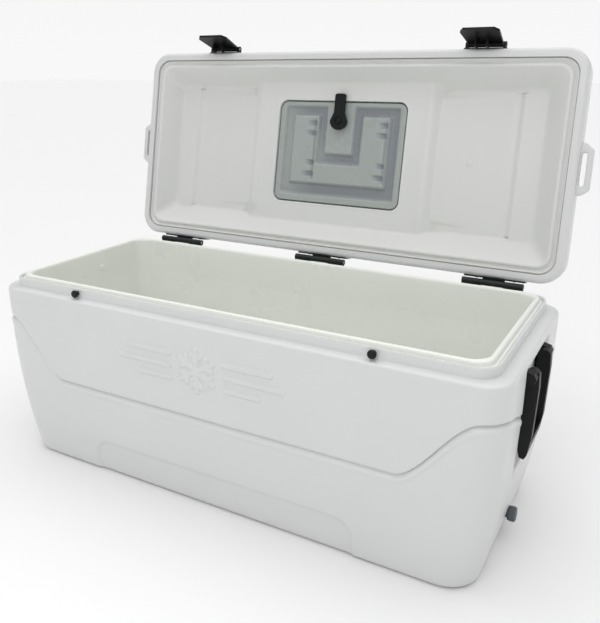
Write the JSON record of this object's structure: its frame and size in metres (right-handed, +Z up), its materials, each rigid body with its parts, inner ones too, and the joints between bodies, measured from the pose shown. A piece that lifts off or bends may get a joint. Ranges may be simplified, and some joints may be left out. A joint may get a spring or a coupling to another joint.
{
  "type": "chest cooler",
  "caption": "Large white chest cooler, lid open, with a cam-locked hatch in the lid, toggle latches, swing-up end handles, tie-down tabs and a screw-cap drain.",
  "frame": {"origin": "centre of the flat underside", "axes": "+X along the length towards the drain end, -Y towards the front with the latches, +Z up"},
  "size_m": [1.068, 0.6212, 0.8806],
  "materials": {
    "white_plastic": "white, satin moulded",
    "liner_plastic": "slightly warm white, smooth",
    "foam": "cream insulating foam",
    "smoke_plastic": "grey, slightly see-through",
    "gasket_rubber": "dark soft seal",
    "seal_rubber": "black soft seal",
    "slate_plastic": "dark grey moulded",
    "black_plastic": "black moulded, fine texture",
    "steel": "stainless"
  },
  "bodies": {
    "tub": {"body_foam": "foam", "body_liner": "liner_plastic", "body_shell": "white_plastic", "drain_nut": "slate_plastic", "drain_spout": "slate_plastic", "handle_left_bracket_back": "black_plastic", "handle_left_bracket_front": "black_plastic", "handle_left_screw_back": "steel", "handle_left_screw_front": "steel", "handle_right_bracket_back": "black_plastic", "handle_right_bracket_front": "black_plastic", "handle_right_screw_back": "steel", "handle_right_screw_front": "steel", "hinge_left_body_leaf": "black_plastic", "hinge_left_body_screw_a": "steel", "hinge_left_body_screw_b": "steel", "hinge_left_pin": "steel", "hinge_middle_body_leaf": "black_plastic", "hinge_middle_body_screw_a": "steel", "hinge_middle_body_screw_b": "steel", "hinge_middle_pin": "steel", "hinge_right_body_leaf": "black_plastic", "hinge_right_body_screw_a": "steel", "hinge_right_body_screw_b": "steel", "hinge_right_pin": "steel", "latch_left_post": "black_plastic", "latch_right_post": "black_plastic"},
    "lid": {"hatch_hinge_rod": "white_plastic", "hinge_left_lid_leaf": "black_plastic", "hinge_left_lid_screw_a": "steel", "hinge_left_lid_screw_b": "steel", "hinge_middle_lid_leaf": "black_plastic", "hinge_middle_lid_screw_a": "steel", "hinge_middle_lid_screw_b": "steel", "hinge_right_lid_leaf": "black_plastic", "hinge_right_lid_screw_a": "steel", "hinge_right_lid_screw_b": "steel", "latch_left_bracket": "black_plastic", "latch_left_pin": "steel", "latch_left_screw": "steel", "latch_right_bracket": "black_plastic", "latch_right_pin": "steel", "latch_right_screw": "steel", "lid_foam": "foam", "lid_liner": "liner_plastic", "lid_shell": "white_plastic"},
    "hatch": {"hatch_cover": "white_plastic", "hatch_foam": "foam", "hatch_gasket": "gasket_rubber", "hatch_liner": "smoke_plastic"},
    "hatch_cam": {"hatch_knob": "white_plastic", "hatch_lever": "black_plastic", "hatch_lever_screw": "black_plastic"},
    "latch_left": {"latch_left_strap": "black_plastic"},
    "latch_right": {"latch_right_strap": "black_plastic"},
    "handle_left": {"handle_left_bail": "black_plastic"},
    "handle_right": {"handle_right_bail": "black_plastic"},
    "drain_seal": {"drain_cap_seal": "seal_rubber"},
    "drain_cap": {"drain_cap": "slate_plastic"}
  },
  "joints": [
    {"name": "lid_hinge", "type": "hinge", "parent": "tub", "child": "lid", "pos_m": [0, 0.236, 0.389], "axis": [1, 0, 0], "range_deg": [0, 100]},
    {"name": "hatch_hinge", "type": "hinge", "parent": "lid", "child": "hatch", "pos_m": [0, 0.32746, 0.48152], "axis": [-1, 0, 0], "range_deg": [0, 90]},
    {"name": "hatch_cam_turn", "type": "hinge", "parent": "hatch", "child": "hatch_cam", "pos_m": [0, 0.33942, 0.68758], "axis": [0, 0.9848, -0.1736], "range_deg": [0, 90]},
    {"name": "latch_left_swing", "type": "hinge", "parent": "lid", "child": "latch_left", "pos_m": [-0.31, 0.33963, 0.85001], "axis": [-1, 0, 0], "range_deg": [-11, 110]},
    {"name": "latch_right_swing", "type": "hinge", "parent": "lid", "child": "latch_right", "pos_m": [0.31, 0.33963, 0.85001], "axis": [-1, 0, 0], "range_deg": [-11, 110]},
    {"name": "handle_left_swing", "type": "hinge", "parent": "tub", "child": "handle_left", "pos_m": [-0.51984, 0, 0.33], "axis": [0, 1, 0], "range_deg": [0, 100]},
    {"name": "handle_right_swing", "type": "hinge", "parent": "tub", "child": "handle_right", "pos_m": [0.51984, 0, 0.33], "axis": [0, -1, 0], "range_deg": [0, 100]},
    {"name": "drain_seal_travel", "type": "slide", "parent": "tub", "child": "drain_seal", "axis": [1, 0, 0], "range_m": [0, 0.0091]},
    {"name": "drain_cap_turn", "type": "hinge", "parent": "drain_seal", "child": "drain_cap", "pos_m": [0.50256, 0, 0.042], "axis": [1, 0, 0], "range_deg": [0, 720]}
  ],
  "couplings": [
    {"joint": "drain_seal_travel", "follows": "drain_cap_turn", "m_per_rad": 0.0007162}
  ]
}
